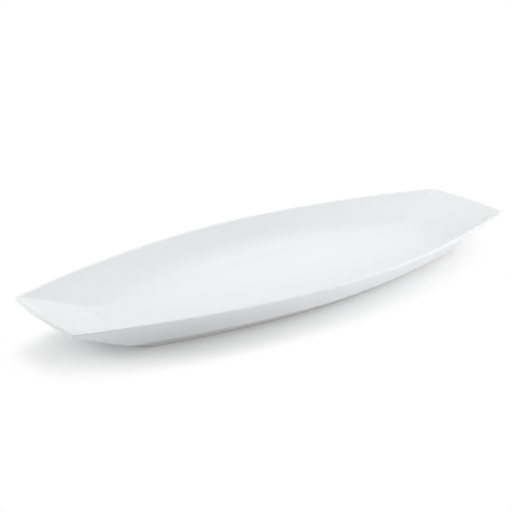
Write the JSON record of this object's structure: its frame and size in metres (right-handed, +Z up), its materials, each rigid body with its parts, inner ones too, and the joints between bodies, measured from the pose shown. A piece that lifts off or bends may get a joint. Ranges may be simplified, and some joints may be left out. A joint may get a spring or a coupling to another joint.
{
  "type": "serving platter",
  "caption": "Boat-shaped white porcelain serving platter with a flat well, coved long walls, gently ramped ends, a thin lip and a low bare foot ring.",
  "frame": {"origin": "on the table, under the middle of the platter", "axes": "+X along the platter, +Y across it, +Z up out of the well"},
  "size_m": [0.46, 0.18, 0.034],
  "materials": {
    "body": "fired white porcelain, matt",
    "glaze": "clear gloss glaze over white porcelain",
    "bare_foot": "unglazed porcelain, ground flat"
  },
  "bodies": {
    "root": {"porcelain_body": "body", "glaze_coat": "glaze", "base_glaze": "glaze", "foot_ring": "bare_foot"}
  },
  "joints": []
}
